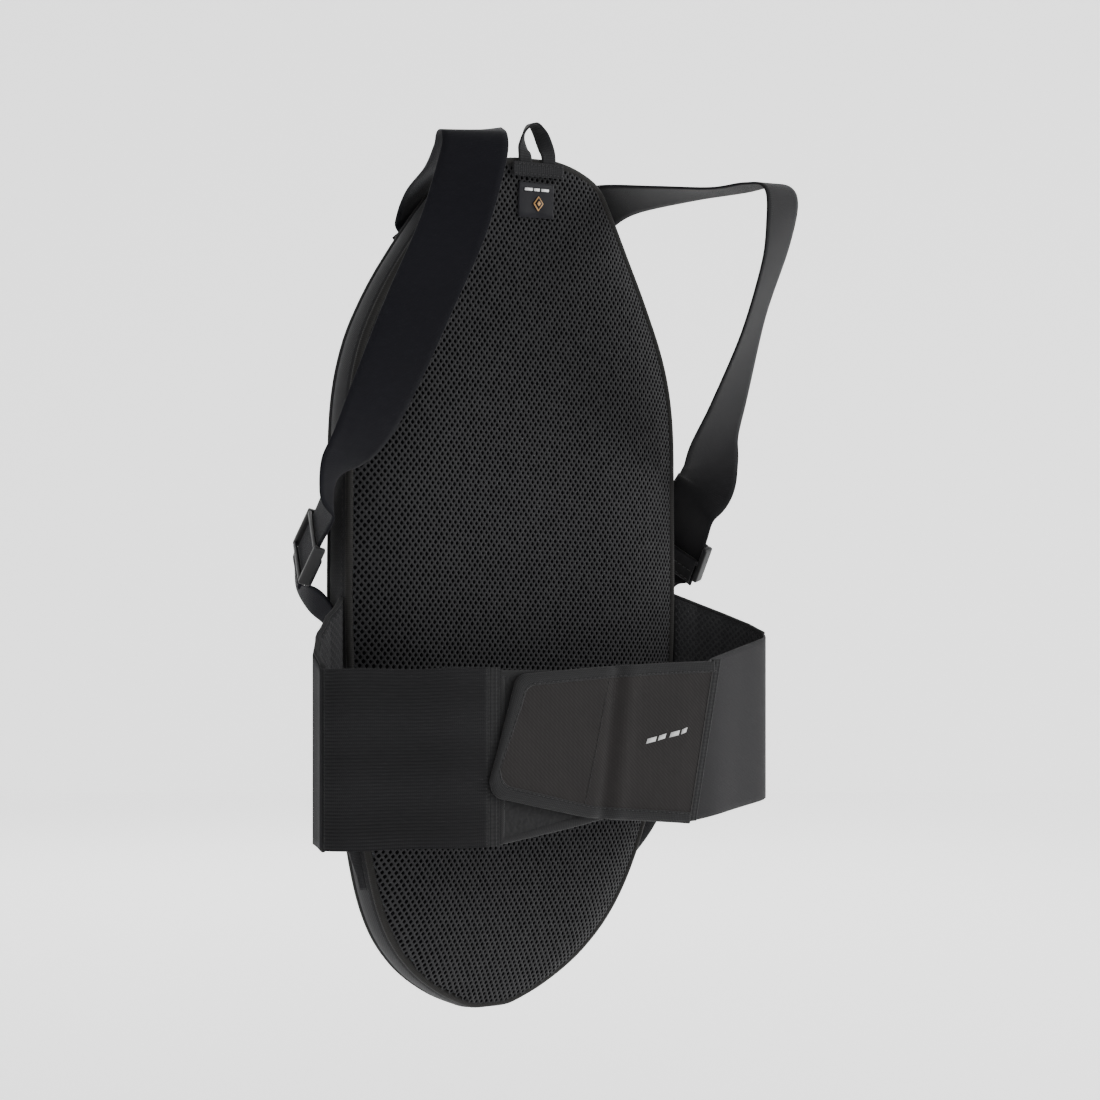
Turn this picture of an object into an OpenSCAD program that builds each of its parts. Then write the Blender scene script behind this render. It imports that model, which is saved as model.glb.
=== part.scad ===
// Soft back protector: a padded back panel, two elastic shoulder straps and a waist belt.
// Origin: the point where the hanging loop rests on a hook. +Z up, -Y is the wearer's side.

/* [Panel] */
// Height of the padded panel
panel_h = 540; // [500:5:580]
// Half of the panel's greatest width
panel_half_w = 125; // [122:1:127]
// Distance from the hook point down to the panel's top edge
loop_h = 22; // [18:1:30]
// Depth of the side band
band_d = 18; // [16:1:24]
// Swell of the mesh face towards the wearer
face_crown = 16; // [8:1:16]
// Swell of the outer cover away from the wearer
cover_crown = 7; // [4:1:10]
// How far the waist sits behind the top edge
waist_back = 20; // [12:1:26]
// How far the bottom edge sits behind the waist
tail_back = 28; // [20:1:44]

/* [Layers] */
// Thickness of the spacer mesh
mesh_t = 3; // [2:0.5:4]
// Thickness of the side band's fabric
fabric_t = 1.6; // [1:0.2:2]
// Depth of the edge binding
binding_d = 3.4; // [2.5:0.1:4]
// Depth behind the front rim where the comfort foam ends
comfort_d = 6.5; // [5:0.5:8]
// Depth behind the front rim where the impact foam ends at the edge
impact_d = 12.6; // [11:0.2:13]
// Thickness of the load spreading sheet
sheet_t = 2; // [1.5:0.5:2.5]
// Gap left between layers
gap = 0.3; // [0.2:0.1:0.5]

/* [Straps] */
// Width of a shoulder strap
strap_w = 40; // [36:1:42]
// Thickness of a shoulder strap
strap_t = 1.6; // [1.2:0.1:2]
// Width of the gathered lower end of a strap
strap_end_w = 16; // [14:1:20]
// Width of a strap slide
slide_w = 48; // [47:1:54]
// Height of a strap slide
slide_h = 28; // [24:1:28]
// Thickness of a bar of the slide
slide_bar = 2.5; // [2:0.5:3]
// Width of the hanging loop's webbing
loop_w = 10; // [8:1:12]

/* [Belt] */
// Height of the belt at the front
belt_h = 107; // [100:1:112]
// Height of the belt's top edge at the front
belt_top = -338; // [-342:1:-334]
// Height of the wing's top edge at the panel seam
seam_top = -299; // [-305:1:-296]
// How far the right fold sits above the front
right_rise = 14; // [0:1:18]
// Thickness of a mesh lined wing
wing_t = 3; // [2:0.5:4]
// Thickness of the elastic
elastic_t = 1.8; // [1.4:0.1:2]
// Width of the seam tapes
tape_w = 9; // [8:1:10]
// Width of the flap's binding
flap_binding_w = 7.5; // [6:0.5:9]

/* [Hidden] */

// The panel's half outline: distance down from the top edge, half width
half_outline = [
    [0, 16], [4, 34], [13, 54], [28, 67], [54, 85], [85, 104], [120, 120], [160, 128],
    [220, 129], [290, 129], [360, 124], [430, 108], [472, 91], [500, 68], [519, 40], [530, 14]
];
outline_steps = 3;
columns = 12;
band_inset = 1.8;
liner_inset = 3.6;
back_d = band_d - gap;
cover_d = impact_d + sheet_t + 2 * gap;

// The shoulder strap's route as on the right: centre x, y, z, the direction across it and its gather
slide_at = [142, 35, -266];
slide_play = 0.5;
along = unit(slide_at - [131, -34, -172]);
face_turn = [0.35, -0.81, -0.47];
across = unit(face_turn - (face_turn * along) * along);
out = cross(across, along);
right_over = [
    [54, 36.8, -68], [62, 36.6, -57], [70, 32, -46], [77, 12, -40], [89, -33, -40],
    [101, -72, -41], [109, -94, -39], [113.5, -106, -43], [115.5, -107, -57]
];
right_over_across = [
    [0.78, 0, -0.62], [0.78, 0, -0.62], [0.82, 0.1, -0.55], [0.88, 0.22, -0.36], [0.96, 0.24, -0.12],
    [0.96, 0.24, 0.04], [0.95, 0.28, 0.08], [0.94, 0.34, 0], [0.92, 0.4, 0]
];
left_over = [
    [54, 36.8, -68], [58.5, 37, -60], [64, 35, -51], [71, 10, -36.5], [83, -35, -29.5],
    [98, -72, -26], [109, -94, -25], [113.5, -106, -29], [115.5, -107, -43]
];
left_over_across = [
    [0.78, 0, -0.62], [0.76, 0, -0.65], [0.74, 0.05, -0.66], [0.78, 0.15, -0.6], [0.84, 0.24, -0.46],
    [0.92, 0.26, -0.26], [0.95, 0.28, -0.08], [0.94, 0.34, 0], [0.92, 0.4, 0]
];
strap_down = [
    [121, -94, -82], [126, -66, -124], [131, -34, -172], slide_at - 85 * along,
    slide_at - 66 * along + [4, 0, 0], slide_at - 50 * along + [4.5, -1, 0],
    slide_at - 36 * along, slide_at - 15 * along,
    slide_at + 13 * along, slide_at + 20 * along, [140, 46.5, -292], [133, 40, -301],
    [128, 33.5, -310], [127.2, 31, -319]
];
strap_down_across = [
    [0.84, 0.54, 0], [0.8, 0.6, 0], [0.94, 0.34, 0], [0.97, 0.04, 0.04], [0.94, -0.22, -0.04],
    [0.76, -0.54, -0.26], across, across, across,
    across, [0.32, -0.93, 0.12], [0.1, -0.83, 0.55], [0, -0.91, 0.41], [0, -0.93, 0.37]
];
strap_gather = [0, 0, 0, 0, 0, 0, 0, 0, 0, 0, 0, 0, 0, 0, 0, 0, 0, 0, 0, 0.42, 0.75, 1, 1];
strap_steps = 4;

// The belt's route in plan on the right, from the panel seam to the fold, then to the front
wing_route = [[127, 20.6], [147.5, 7.3], [162.3, -9], [167.5, -25.5]];
fold_to_front = [[167.2, -26.5], [159, -33.5], [128, -45.5], [99, -57]];
seam_lean = 20;
seam_x = 92;
front_y = -63;
loop_panel_end = 42;
left_seam_x = -76;
belt_bottom = belt_top - belt_h;
flap_y = -63.7;
flap_t = 2.2;
flap_tip_drop = 30;

function at(p, i) = p[max(0, min(len(p) - 1, i))];
function blend(a, b, c, d, t) = 0.5 * (2 * b + (c - a) * t + (2 * a - 5 * b + 4 * c - d) * t * t
    + (3 * b - a - 3 * c + d) * t * t * t);
function smooth(p, n) = [
    for (i = [0:len(p) - 2], k = [0:n - 1]) blend(at(p, i - 1), p[i], p[i + 1], at(p, i + 2), k / n),
    p[len(p) - 1]
];
function unit(v) = v / norm(v);
// How far the front rim sits behind the loop, at distance s down the panel
function lean(s) = s < 120 ? waist_back * (1 - pow(1 - s / 120, 2))
    : s < 300 ? waist_back
    : waist_back + tail_back * pow((s - 300) / 230, 2);
// The half outline shrunk by about d towards the panel's middle
function rim(d) = [
    for (p = smooth(half_outline, outline_steps)) let (scaled = [p[0] * panel_h / 530, p[1] * panel_half_w / 129])
        [panel_h / 2 + (scaled[0] - panel_h / 2) * (1 - 2 * d / panel_h), scaled[1] * (1 - d / panel_half_w)]
];
// A curved face of the panel: inset d, depth y behind the front rim, swollen by crown
function face(d, y, crown) = [
    for (p = rim(d)) [
        for (j = [0:columns]) let (
            u = sin(180 * j / columns - 90),
            swell = crown * (1 - pow(abs(u), 5)) * (1 - pow(abs(2 * p[0] / panel_h - 1), 6))
        ) [u * p[1], lean(p[0]) + y + swell, -loop_h - p[0]]
    ]
];
// The whole outline as one closed loop, clockwise from the wearer's side
function outline(d, y) = let (r = rim(d), n = len(r)) concat(
    [for (p = r) [p[1], lean(p[0]) + y, -loop_h - p[0]]],
    [for (i = [n - 1:-1:0]) [-r[i][1], lean(r[i][0]) + y, -loop_h - r[i][0]]]
);
// Unit normals of the strip between two edge lines
function normals(a, b) = [
    for (i = [0:len(a) - 1]) unit(cross(at(a, i + 1) - at(a, i - 1) + at(b, i + 1) - at(b, i - 1), b[i] - a[i]))
];
function edge_line(centre, side, half_w) = [
    for (i = [0:len(centre) - 1]) centre[i] + side[i] * half_w[i]
];

// The closed solid between two grids of points; a is on the side that faces out
module between(a, b) {
    rows = len(a);
    cols = len(a[0]);
    n = rows * cols;
    points = concat([for (row = a) each row], [for (row = b) each row]);
    edge = concat(
        [for (j = [0:cols - 1]) j],
        [for (i = [1:rows - 1]) i * cols + cols - 1],
        [for (j = [cols - 2:-1:0]) (rows - 1) * cols + j],
        [for (i = [rows - 2:-1:1]) i * cols]
    );
    faces = concat(
        [for (i = [0:rows - 2], j = [0:cols - 2]) let (k = i * cols + j) each
            [[k, k + 1, k + cols + 1], [k, k + cols + 1, k + cols]]],
        [for (i = [0:rows - 2], j = [0:cols - 2]) let (k = n + i * cols + j) each
            [[k + cols + 1, k + 1, k], [k + cols, k + cols + 1, k]]],
        [for (e = [0:len(edge) - 1]) let (p = edge[e], q = edge[(e + 1) % len(edge)]) each
            [[q, p, p + n], [q, p + n, q + n]]]
    );
    polyhedron(points, faces);
}
// A closed ring whose section has four corners, each corner's route given as a loop
module ring(loops) {
    m = len(loops[0]);
    faces = [for (c = [0:3], i = [0:m - 1]) let (
        a = c * m + i,
        b = (c + 1) % 4 * m + i,
        b2 = (c + 1) % 4 * m + (i + 1) % m,
        a2 = c * m + (i + 1) % m
    ) each [[a, b, b2], [a, b2, a2]]];
    polyhedron([for (l = loops) each l], faces);
}
// A strip of cloth of thickness t between two edge lines, moved by lift along its normal
module strip(a, b, t, lift = 0) {
    n = normals(a, b);
    between(
        [for (i = [0:len(a) - 1]) [a[i] + n[i] * (lift + t / 2), b[i] + n[i] * (lift + t / 2)]],
        [for (i = [0:len(a) - 1]) [a[i] + n[i] * (lift - t / 2), b[i] + n[i] * (lift - t / 2)]]
    );
}

// Spacer mesh that lies against the wearer's back
module mesh_liner() {
    color("#2b2b2d") between(
        face(liner_inset, -mesh_t - gap, -face_crown),
        face(liner_inset, -gap, -face_crown)
    );
}
// Soft foam behind the mesh
module comfort_foam() {
    color("#8a8f96") between(
        face(band_inset + 2, gap / 3, -face_crown),
        face(band_inset + 2, comfort_d, 0)
    );
}
// Dense impact absorbing foam
module impact_foam() {
    color("#c9a13b") between(
        face(band_inset + 2, comfort_d + gap, 0),
        face(band_inset + 2, impact_d, cover_crown)
    );
}
// Semi rigid sheet that spreads a blow over the foam
module load_sheet() {
    color("#b8bcc2") between(
        face(band_inset + 2, impact_d + gap, cover_crown),
        face(band_inset + 2, impact_d + gap + sheet_t, cover_crown)
    );
}
// Woven outer cover on the side away from the wearer
module outer_cover() {
    color("#1d1d1f") between(
        face(band_inset + 2, cover_d, cover_crown),
        face(band_inset + 2, back_d, cover_crown)
    );
}
// Fabric band around the panel's edge
module side_band() {
    color("#303032") ring([
        outline(0, 0), outline(0, band_d), outline(band_inset, band_d), outline(band_inset, 0)
    ]);
}
// Binding over the seam between mesh and band
module front_binding() {
    color("#161617") ring([
        outline(-0.5, -binding_d), outline(-0.5, -gap / 3),
        outline(liner_inset - gap, -gap / 3), outline(liner_inset - gap, -binding_d)
    ]);
}
// Binding over the seam between band and outer cover
module rear_binding() {
    color("#161617") ring([
        outline(-0.5, band_d + gap / 3), outline(-0.5, band_d + 2.4),
        outline(band_inset - gap, band_d + 2.4), outline(band_inset - gap, band_d + gap / 3)
    ]);
}
// Hanging loop: two legs of narrow webbing that turn edge on over the hook
module hang_loop() {
    route = smooth([
        [9, -5.2, -loop_h - 7], [9, -4.6, -20], [8, -2.6, -14], [5, 0, -5], [0, 0, 0.6],
        [-5, 0, -5], [-8, -2.6, -14], [-9, -4.6, -20], [-9, -5.2, -loop_h - 7]
    ], 4);
    side = smooth([
        [-1, 0, 0], [-1, 0, 0], [-0.9, 0.4, 0], [-0.5, 0.86, 0], [0, 1, 0],
        [0.5, 0.86, 0], [0.9, 0.4, 0], [1, 0, 0], [1, 0, 0]
    ], 4);
    half = [for (s = side) loop_w / 2];
    color("#1b1b1c") strip(
        edge_line(route, [for (s = side) -unit(s)], half),
        edge_line(route, [for (s = side) unit(s)], half),
        1.2
    );
}
// Stitched patch that holds the loop's legs on the panel
module loop_patch() {
    color("#202021") translate([0, -6.6, -loop_h - 7]) cube([38, 1, 9], center = true);
}
// Woven size label below the loop
module size_label() {
    top = -loop_h - 15;
    bottom = top - 22;
    color("#15151a") strip(
        [[-14, -4.2, top], [-14.5, -3.2, bottom]],
        [[14, -4.2, top], [14.5, -3.2, bottom]],
        0.5
    );
}
module shoulder_strap(over, over_across) {
    centre = smooth(concat(over, strap_down), strap_steps);
    side = [for (s = smooth(concat(over_across, strap_down_across), strap_steps)) unit(s)];
    half = [for (g = smooth(strap_gather, strap_steps)) (strap_w + (strap_end_w - strap_w) * max(0, g)) / 2];
    strip(edge_line(centre, -side, half), edge_line(centre, side, half), strap_t);
}
module left_shoulder_strap() {
    color("#14141c") mirror([1, 0, 0]) shoulder_strap(left_over, left_over_across);
}
module right_shoulder_strap() {
    color("#1e1e20") shoulder_strap(right_over, right_over_across);
}
// Patch that reinforces the strap's sewn end on the outer cover
module strap_patch() {
    translate([57, 39.3, -65]) rotate([0, 52, 0]) cube([16, 1.4, 44], center = true);
}
module left_strap_patch() {
    color("#222224") mirror([1, 0, 0]) strap_patch();
}
module right_strap_patch() {
    color("#222224") strap_patch();
}
// Short ribbed webbing sewn over the strap's lower end on the side band
module anchor_webbing() {
    strip(
        [[130, 24.5, -312], [129.8, 24.5, -324], [127.8, 24.5, -342]],
        [[130, 36.5, -312], [129.8, 36.5, -324], [127.8, 36.5, -342]],
        1.4
    );
}
module left_anchor_webbing() {
    color("#2e2e31") mirror([1, 0, 0]) anchor_webbing();
}
module right_anchor_webbing() {
    color("#2e2e31") anchor_webbing();
}
// Gusset that fills the corner between the panel's edge and the wing's seam
module gusset() {
    edge = [for (p = rim(0)) if (p[0] > 336 && p[0] < 458) p];
    strip(
        [for (p = edge) [p[1] + 0.8, lean(p[0]) + 4, -loop_h - p[0]]],
        [for (p = edge) let (tuck = max(0, min(1, (p[0] - 405) / 45)))
            [125.2 + (p[1] + 4 - 125.2) * tuck, 22.4 + (lean(p[0]) - 16.4) * tuck, -loop_h - p[0]]],
        1.6
    );
}
module left_gusset() {
    color("#232325") mirror([1, 0, 0]) gusset();
}
module right_gusset() {
    color("#232325") gusset();
}

// One edge of a wing: height z at the seam, fold_z at the fold
function wing_line(z, fold_z) = let (p = smooth(wing_route, 4), n = len(p) - 1) [
    for (i = [0:n]) [p[i][0], p[i][1], z + (fold_z - z) * i / n]
];
module wing(fold_top, fold_bottom) {
    strip(
        wing_line(seam_top, fold_top),
        wing_line(belt_bottom + 14, fold_bottom),
        wing_t
    );
}
// Folded tape along the wing's top edge
module wing_binding(fold_top) {
    strip(
        wing_line(seam_top + 4.3, fold_top + 4.3),
        wing_line(seam_top + gap, fold_top + gap),
        wing_t + 1
    );
}
module left_wing() {
    color("#262628") mirror([1, 0, 0]) wing(belt_top, belt_bottom);
}
module left_wing_binding() {
    color("#19191a") mirror([1, 0, 0]) wing_binding(belt_top);
}
module right_wing() {
    color("#262628") wing(belt_top + right_rise, belt_bottom + right_rise);
}
module right_wing_binding() {
    color("#19191a") wing_binding(belt_top + right_rise);
}
// One edge of an elastic: fold height, front height and the front end's place
function elastic_line(fold_z, front_z, end_x) = let (
    p = smooth(concat(fold_to_front, [[end_x, front_y]]), 4),
    n = len(p) - 1
) [for (i = [0:n]) [p[i][0], p[i][1], fold_z + (front_z - fold_z) * i / n]];
// Ribbed elastic from the left fold to the hook and loop closure
module left_elastic() {
    color("#2a2a2c") mirror([1, 0, 0]) strip(
        elastic_line(belt_top, belt_top, -left_seam_x),
        elastic_line(belt_bottom, belt_bottom, -left_seam_x),
        elastic_t
    );
}
// Smooth elastic from the right fold to the flap's seam
module right_elastic() {
    color("#3a3a3d") strip(
        elastic_line(belt_top + right_rise, belt_top, seam_x + 0.6),
        elastic_line(belt_bottom + right_rise, belt_bottom + 6, seam_x - seam_lean + 0.6),
        elastic_t
    );
}
// Tape over the seam between elastic and loop panel
module left_seam_tape() {
    color("#252527") translate([left_seam_x + gap, front_y + 0.2, belt_bottom])
        cube([tape_w - 2 * gap, 1, belt_h]);
}
// Tape over the seam between the right elastic and the flap
module right_seam_tape() {
    lean_angle = atan(seam_lean / (belt_h - 6));
    color("#2b2b2d") translate([seam_x + 1, front_y - 2, belt_top]) rotate([0, lean_angle, 0])
        translate([0, -0.8, -belt_h + 2]) cube([tape_w - 2, 1, belt_h - 3]);
}
module loop_outline() {
    polygon([
        [left_seam_x + tape_w, belt_top - 2], [loop_panel_end, belt_top - 8],
        [loop_panel_end, belt_bottom + 17], [left_seam_x + tape_w, belt_bottom]
    ]);
}
// Flat piece in the belt's front plane, from depth y over thickness t towards the wearer's hand
module front_piece(y, t) {
    translate([0, y, 0]) rotate([90, 0, 0]) linear_extrude(t) children();
}
// Loop pile that the flap sticks to
module loop_panel() {
    color("#101011") front_piece(front_y + 2.8, 2) offset(delta = -6) loop_outline();
}
// Binding around the loop pile
module loop_panel_binding() {
    color("#202022") front_piece(front_y + 3, 2.3) difference() {
        loop_outline();
        offset(delta = -6) loop_outline();
    }
}
module flap_outline() {
    corner = 10;
    offset(r = corner) offset(delta = -corner) polygon([
        [-59, belt_top - 5], [seam_x + corner, belt_top + 1], [seam_x - seam_lean + corner, belt_bottom + 5],
        [-3, belt_bottom + 15], [-76, belt_bottom + flap_tip_drop]
    ]);
}
// Everything on the flap's side of its slanted seam
module flap_side() {
    polygon([
        [-120, belt_top + 20], [seam_x + 4.3, belt_top + 20],
        [seam_x - seam_lean - 1.3, belt_bottom], [-120, belt_bottom]
    ]);
}
// Woven closure flap
module flap_panel() {
    color("#2c2624") front_piece(flap_y, flap_t) intersection() {
        offset(delta = -flap_binding_w) flap_outline();
        flap_side();
    }
}
// Binding around the flap's free edges
module flap_binding() {
    color("#1f1f20") front_piece(flap_y + 0.3, flap_t + 0.7) intersection() {
        difference() {
            flap_outline();
            offset(delta = -flap_binding_w) flap_outline();
        }
        flap_side();
    }
}
// Hook pile sewn on the back of the flap's free end
module hook_patch() {
    color("#0e0e0f") front_piece(flap_y + 1.1, 1)
        polygon([[-52, belt_top - 18], [-6, belt_top - 17], [-14, belt_bottom + 33], [-62, belt_bottom + 43]]);
}
// Plain printed mark: three slanted bars
module flap_mark() {
    color("#b9b9b9") front_piece(flap_y - flap_t, 0.3) for (i = [0:2])
        translate([34 + 13 * i, belt_top - 47 + 2 * i])
            polygon([[0, 0], [10, 1.4], [11.4, 5], [1.4, 3.6]]);
}
// Turns a piece drawn flat, with the strap along z, onto the strap where the slide sits
module on_strap() {
    multmatrix([
        [across[0], out[0], -along[0], slide_at[0]],
        [across[1], out[1], -along[1], slide_at[1]],
        [across[2], out[2], -along[2], slide_at[2]],
        [0, 0, 0, 1]
    ]) children();
}
// Strap slide: the outer bars pass outside the strap, the middle bar inside it
module slide() {
    rail = (slide_w - strap_w) / 2 - slide_play;
    level = strap_t / 2 + 0.4;
    on_strap() {
        for (side = [-1, 1]) translate([side * (slide_w - rail) / 2, 0, 0])
            cube([rail, 2 * (level + slide_bar), slide_h], center = true);
        for (end = [-1, 1]) translate([0, level + slide_bar / 2, end * (slide_h - slide_bar) / 2])
            cube([slide_w - 2 * rail, slide_bar, slide_bar], center = true);
        translate([0, -level - slide_bar / 2, 0]) cube([slide_w - 2 * rail, slide_bar, slide_bar], center = true);
    }
}
// Strap end sewn around the slide's middle bar
module slide_tail() {
    level = strap_t / 2 + 0.4 + slide_bar;
    on_strap() translate([0, -level - 0.3 - strap_t / 2, -6]) cube([strap_w - 1, strap_t, 18], center = true);
}
module left_slide() {
    color("#0b0b0c") mirror([1, 0, 0]) slide();
}
module left_slide_tail() {
    color("#17171c") mirror([1, 0, 0]) slide_tail();
}
module right_slide() {
    color("#0b0b0c") slide();
}
module right_slide_tail() {
    color("#17171c") slide_tail();
}

mesh_liner();
comfort_foam();
impact_foam();
load_sheet();
outer_cover();
side_band();
front_binding();
rear_binding();
hang_loop();
loop_patch();
size_label();
left_shoulder_strap();
right_shoulder_strap();
left_strap_patch();
right_strap_patch();
left_anchor_webbing();
right_anchor_webbing();
left_gusset();
right_gusset();
left_wing();
left_wing_binding();
left_elastic();
left_seam_tape();
loop_panel();
loop_panel_binding();
right_wing();
right_wing_binding();
right_elastic();
right_seam_tape();
flap_panel();
flap_binding();
hook_patch();
flap_mark();
left_slide();
left_slide_tail();
right_slide();
right_slide_tail();
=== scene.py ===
"""Looks of the soft back protector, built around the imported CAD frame.
Lengths in the shape code are millimetres in the row frame; build() turns them into metres."""
import math

import bmesh
import bpy
import numpy as np
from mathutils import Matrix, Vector


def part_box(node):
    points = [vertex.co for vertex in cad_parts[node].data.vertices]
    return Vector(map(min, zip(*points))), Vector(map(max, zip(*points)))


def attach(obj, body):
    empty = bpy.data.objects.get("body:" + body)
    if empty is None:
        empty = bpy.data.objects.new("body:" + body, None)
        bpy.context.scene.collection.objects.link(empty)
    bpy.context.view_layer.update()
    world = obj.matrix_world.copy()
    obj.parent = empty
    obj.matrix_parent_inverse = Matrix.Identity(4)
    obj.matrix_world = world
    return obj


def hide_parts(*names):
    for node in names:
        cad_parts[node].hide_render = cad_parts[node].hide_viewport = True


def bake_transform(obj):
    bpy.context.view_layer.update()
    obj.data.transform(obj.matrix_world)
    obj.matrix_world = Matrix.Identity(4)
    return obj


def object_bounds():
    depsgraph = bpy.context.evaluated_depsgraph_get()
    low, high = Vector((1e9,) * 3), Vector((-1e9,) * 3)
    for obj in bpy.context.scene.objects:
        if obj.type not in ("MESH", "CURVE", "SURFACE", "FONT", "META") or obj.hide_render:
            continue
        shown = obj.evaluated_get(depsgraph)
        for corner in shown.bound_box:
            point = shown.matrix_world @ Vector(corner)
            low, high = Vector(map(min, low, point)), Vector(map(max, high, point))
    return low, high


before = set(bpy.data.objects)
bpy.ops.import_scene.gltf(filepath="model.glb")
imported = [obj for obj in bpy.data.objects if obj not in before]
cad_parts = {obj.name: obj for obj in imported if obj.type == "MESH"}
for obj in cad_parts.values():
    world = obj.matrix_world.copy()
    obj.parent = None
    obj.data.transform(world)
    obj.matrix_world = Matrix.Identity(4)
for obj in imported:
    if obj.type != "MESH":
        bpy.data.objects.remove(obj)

MM = 0.001
cad_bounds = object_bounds()
Y, Z = np.eye(3)[1:]


def vec(*v):
    return np.array(v, float)


def node_box(node):
    """A CAD node's lowest and highest corner in millimetres."""
    low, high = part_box(node)
    return np.array(low) / MM, np.array(high) / MM


band_low, band_high = node_box("side_band")
PANEL_H = band_high[2] - band_low[2]
HALF_W = band_high[0]
TOP = band_high[2]
BAND_D = 18.0
WAIST_BACK = 20.0
TAIL_BACK = 28.0
FACE_CROWN = 16.0
COVER_CROWN = 7.0
LINER_FRONT = -3.3
FLEX_CHANNELS = (130, 215, 300, 385)
CHANNEL_BOW = 0.0009
HALF_OUTLINE = [
    (0, 16), (4, 34), (13, 54), (28, 67), (54, 85), (85, 104), (120, 120), (160, 128),
    (220, 129), (290, 129), (360, 124), (430, 108), (472, 91), (500, 68), (519, 40), (530, 14),
]


# ---- curves and surfaces
def smooth(points, steps):
    """A Catmull-Rom curve through the points, with so many steps from one to the next."""
    p = np.array(points, float)
    padded = np.vstack([p[:1], p, p[-1:]])
    t = (np.arange(steps) / steps)[:, None]
    out = []
    for i in range(len(p) - 1):
        a, b, c, d = padded[i:i + 4]
        out.append(0.5 * (2 * b + (c - a) * t + (2 * a - 5 * b + 4 * c - d) * t**2
                          + (3 * b - a - 3 * c + d) * t**3))
    return np.vstack(out + [p[-1:]])


def lengths(p):
    """Distance run along a polyline at each of its points."""
    return np.concatenate([[0], np.cumsum(np.linalg.norm(np.diff(p, axis=0), axis=1))])


def resample(points, spacing, closed=False):
    """Points at an even spacing along a polyline."""
    p = np.array(points, float)
    if closed:
        p = np.vstack([p, p[:1]])
    run = lengths(p)
    count = max(2, int(round(run[-1] / spacing)) + 1)
    at = np.linspace(0, run[-1], count)
    q = np.stack([np.interp(at, run, p[:, k]) for k in range(p.shape[1])], axis=1)
    return q[:-1] if closed else q


def unit(v):
    v = np.asarray(v, float)
    return v / np.maximum(np.linalg.norm(v, axis=-1, keepdims=True), 1e-9)


def tangents(p, closed=False):
    if closed:
        return unit(np.roll(p, -1, axis=0) - np.roll(p, 1, axis=0))
    return unit(np.gradient(p, axis=0))


OUTLINE = smooth(HALF_OUTLINE, 10) * vec(PANEL_H / 530, HALF_W / 129)


def lean(s):
    """How far the front rim sits behind the hanging loop at distance s down the panel."""
    s = np.asarray(s, float)
    upper = WAIST_BACK * (1 - np.clip(1 - s / 120, 0, None) ** 2)
    return upper + TAIL_BACK * np.clip((s - 300) / 230, 0, None) ** 2


def half_width(s):
    """Half the panel's width at distance s down it."""
    return np.interp(s, OUTLINE[:, 0], OUTLINE[:, 1])


def swell(x, s, crown):
    """How far a face bulges out: crown in the middle, nothing at the rim."""
    u = np.clip(np.abs(x) / np.maximum(half_width(s) - 3, 1), 0, 1)
    v = np.clip(np.abs(2 * s / PANEL_H - 1), 0, 1)
    return crown * (1 - u**5) * (1 - v**6)


def ripple(x, s):
    """Slight unevenness that the foam gives the mesh face."""
    waves = 0.5 * np.sin(x / 31 + s / 47) + 0.4 * np.sin(s / 23 - x / 60 + 1) + 0.25 * np.sin(x / 13 + 2.2)
    return waves * np.clip(1 - (np.abs(x) / np.maximum(half_width(s), 1)) ** 4, 0, 1)


def face_point(x, s):
    """Point of the mesh face at offset x from the centre line and s down from the top edge."""
    y = lean(s) + LINER_FRONT - swell(x, s, FACE_CROWN) - 0.6 * ripple(x, s)
    return np.stack([x, y, TOP - s], axis=-1)


def cover_point(x, s):
    """Point of the outer cover, with sewn flex channels across it and one down each side."""
    y = lean(s) + BAND_D - 0.2 + swell(x, s, COVER_CROWN + 2)
    fade = np.clip(1.25 - np.abs(x) / np.maximum(half_width(s), 1), 0, 1) ** 0.5
    for channel in FLEX_CHANNELS:
        y = y - 3.6 * fade * np.exp(-((s - channel - CHANNEL_BOW * x**2) / 3.6) ** 2)
    side = 0.62 * half_width(s)
    reach = np.clip((s - 50) / 30, 0, 1) * np.clip((500 - s) / 30, 0, 1)
    y = y - 3.0 * np.exp(-((np.abs(x) - side) / 3.6) ** 2) * reach
    return np.stack([x, y, TOP - s], axis=-1)


def outline_loop(spacing):
    """The panel's outline at the front rim as a closed loop, with its outward directions."""
    right = np.stack([OUTLINE[:, 1], OUTLINE[:, 0]], axis=1)
    left = right[::-1] * vec(-1, 1)
    flat = resample(np.vstack([right, left]), spacing, closed=True)
    for _ in range(3):
        flat = (np.roll(flat, 1, axis=0) + 2 * flat + np.roll(flat, -1, axis=0)) / 4
    t = tangents(flat, closed=True)
    out = np.stack([t[:, 1], np.zeros(len(t)), t[:, 0]], axis=1)
    points = np.stack([flat[:, 0], lean(flat[:, 1]), TOP - flat[:, 1]], axis=1)
    return points, unit(out)


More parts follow.
